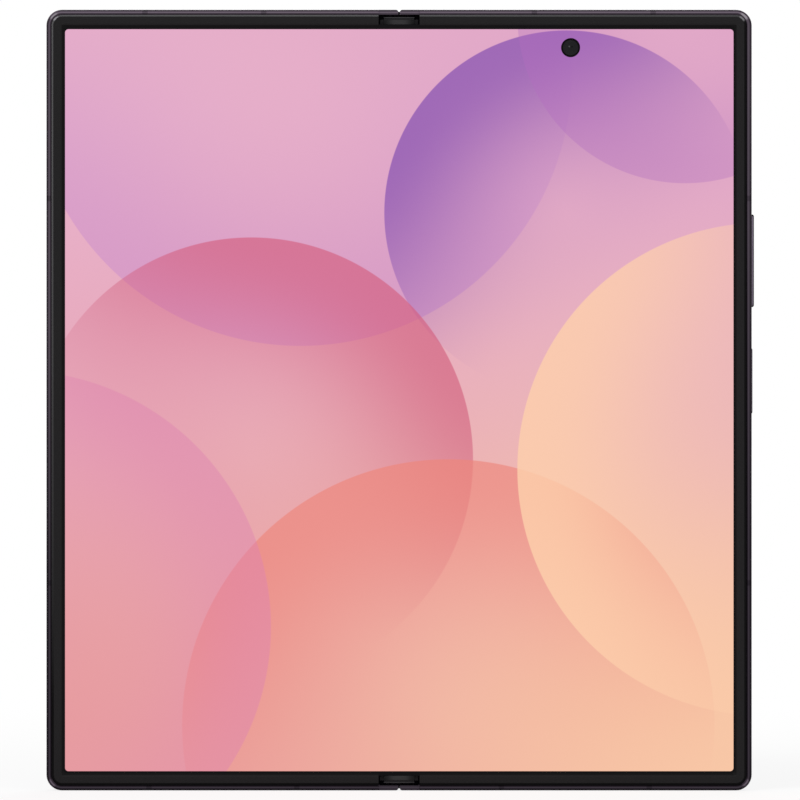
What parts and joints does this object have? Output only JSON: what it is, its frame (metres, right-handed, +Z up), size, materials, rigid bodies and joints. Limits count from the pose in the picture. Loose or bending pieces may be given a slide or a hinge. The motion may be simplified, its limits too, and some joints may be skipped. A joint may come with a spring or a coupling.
{
  "type": "foldable smartphone",
  "caption": "Book-style folding phone, open flat: two slim hinged halves with a flexible inner screen, a cover screen and a raised camera island.",
  "frame": {"origin": "the phone stands upright, open flat: the middle of its bounding box on the plane of its bottom edge, under the fold line", "axes": "+Z up along the fold, +X across to the half with the rear cameras, -Y the way the inner screen faces"},
  "size_m": [0.1436, 0.0066, 0.1584],
  "materials": {
    "frame_metal": "satin anodised, dark mauve-grey",
    "ring_metal": "fine turned anodised metal, mauve-grey",
    "antenna_plastic": "matt plastic, a shade darker than the frame",
    "rear_glass": "opaque satin-etched glass, dark mauve-grey",
    "cover_glass": "polished black glass",
    "lens_glass": "coated dark lens glass",
    "camera_black": "black camera housing",
    "flash_lens": "ribbed pale yellow diffuser",
    "rim_black": "satin black moulded plastic",
    "cap_rubber": "soft black elastomer",
    "inner_screen": "glossy flexible display showing a pink to peach design",
    "cover_screen": "dark display panel, switched off",
    "steel_sheet": "rolled steel sheet",
    "hinge_steel": "sintered steel",
    "gear_brass": "machined brass",
    "screw_steel": "black-oxide steel",
    "copper": "bare copper",
    "board_green": "solder-masked circuit board",
    "battery_wrap": "laminated foil pouch",
    "inner_black": "black moulded plastic",
    "flex_amber": "amber polyimide film"
  },
  "bodies": {
    "main_half": {"main_frame": "frame_metal", "main_antenna_breaks": "antenna_plastic", "rear_glass": "rear_glass", "camera_island": "frame_metal", "lens_rings": "ring_metal", "lens_glasses": "lens_glass", "wide_camera": "camera_black", "ultrawide_camera": "camera_black", "tele_camera": "camera_black", "flash_lens": "flash_lens", "screen_rim_right": "rim_black", "inner_screen_right": "inner_screen", "screen_plate_right": "steel_sheet", "inner_camera": "camera_black", "inner_camera_window": "lens_glass", "heat_spreader": "copper", "logic_board": "board_green", "board_cans": "steel_sheet", "main_battery": "battery_wrap", "charging_coil": "copper", "usb_shell": "steel_sheet", "usb_tongue": "inner_black", "usb_board": "board_green", "loudspeaker": "inner_black", "vibration_motor": "hinge_steel", "key_switches": "flex_amber", "main_swing_arms": "hinge_steel", "main_wing_plate": "steel_sheet", "main_arm_screws": "screw_steel"},
    "hinge_spine": {"hinge_housing": "frame_metal", "hinge_brackets": "hinge_steel", "friction_clips": "hinge_steel", "fold_support_plate": "steel_sheet", "fold_lattice": "steel_sheet", "screen_fold_strip": "inner_screen", "fold_end_caps": "cap_rubber", "hinge_flex_cables": "flex_amber"},
    "cover_half": {"cover_frame": "frame_metal", "cover_antenna_breaks": "antenna_plastic", "cover_glass": "cover_glass", "cover_screen": "cover_screen", "cover_camera": "camera_black", "screen_rim_left": "rim_black", "inner_screen_left": "inner_screen", "screen_plate_left": "steel_sheet", "cover_battery": "battery_wrap", "cover_board": "board_green", "cover_board_can": "steel_sheet", "earpiece_speaker": "inner_black", "sim_socket": "steel_sheet", "cover_swing_arms": "hinge_steel", "cover_wing_plate": "steel_sheet", "cover_arm_screws": "screw_steel"},
    "volume_key": {"volume_key": "frame_metal"},
    "side_key": {"side_key": "frame_metal"},
    "sim_tray": {"sim_tray": "frame_metal"},
    "main_gear_shafts": {"main_gear_shafts": "hinge_steel"},
    "cover_gear_shafts": {"cover_gear_shafts": "hinge_steel"},
    "main_idler_gears": {"main_idler_gears": "gear_brass"},
    "cover_idler_gears": {"cover_idler_gears": "gear_brass"}
  },
  "joints": [
    {"name": "main_hinge", "type": "hinge", "parent": "hinge_spine", "child": "main_half", "pos_m": [0.0013, -0.00225, 0.0792], "axis": [0, 0, -1], "range_deg": [0, 90], "deforming": ["screen_fold_strip", "fold_lattice", "hinge_flex_cables"]},
    {"name": "cover_hinge", "type": "hinge", "parent": "hinge_spine", "child": "cover_half", "pos_m": [-0.0013, -0.00225, 0.0792], "axis": [0, 0, 1], "range_deg": [0, 90]},
    {"name": "main_shaft_spin", "type": "hinge", "parent": "hinge_spine", "child": "main_gear_shafts", "pos_m": [0.00164, -0.00131, 0.0792], "axis": [0, 0, 1], "range_deg": [-315, 0]},
    {"name": "main_idler_spin", "type": "hinge", "parent": "hinge_spine", "child": "main_idler_gears", "pos_m": [0.00055, -0.00131, 0.0792], "axis": [0, 0, 1], "range_deg": [0, 315]},
    {"name": "cover_idler_spin", "type": "hinge", "parent": "hinge_spine", "child": "cover_idler_gears", "pos_m": [-0.00055, -0.00131, 0.0792], "axis": [0, 0, 1], "range_deg": [-315, 0]},
    {"name": "cover_shaft_spin", "type": "hinge", "parent": "hinge_spine", "child": "cover_gear_shafts", "pos_m": [-0.00164, -0.00131, 0.0792], "axis": [0, 0, 1], "range_deg": [0, 315]},
    {"name": "volume_rock", "type": "hinge", "parent": "main_half", "child": "volume_key", "pos_m": [0.06935, -0.00105, 0.1075], "axis": [0, 1, 0], "range_deg": [-1, 1], "stiffness_Nm_per_rad": 0.9},
    {"name": "side_key_press", "type": "slide", "parent": "main_half", "child": "side_key", "axis": [-1, 0, 0], "range_m": [0, 0.0002], "stiffness_N_per_m": 5000},
    {"name": "tray_slide", "type": "slide", "parent": "cover_half", "child": "sim_tray", "axis": [0, 0, -1], "range_m": [0, 0.016]}
  ],
  "couplings": [
    {"joint": "cover_hinge", "follows": "main_hinge", "ratio": 1},
    {"joint": "main_shaft_spin", "follows": "main_hinge", "ratio": -3.5},
    {"joint": "main_idler_spin", "follows": "main_hinge", "ratio": 3.5},
    {"joint": "cover_idler_spin", "follows": "main_hinge", "ratio": -3.5},
    {"joint": "cover_shaft_spin", "follows": "main_hinge", "ratio": 3.5}
  ]
}
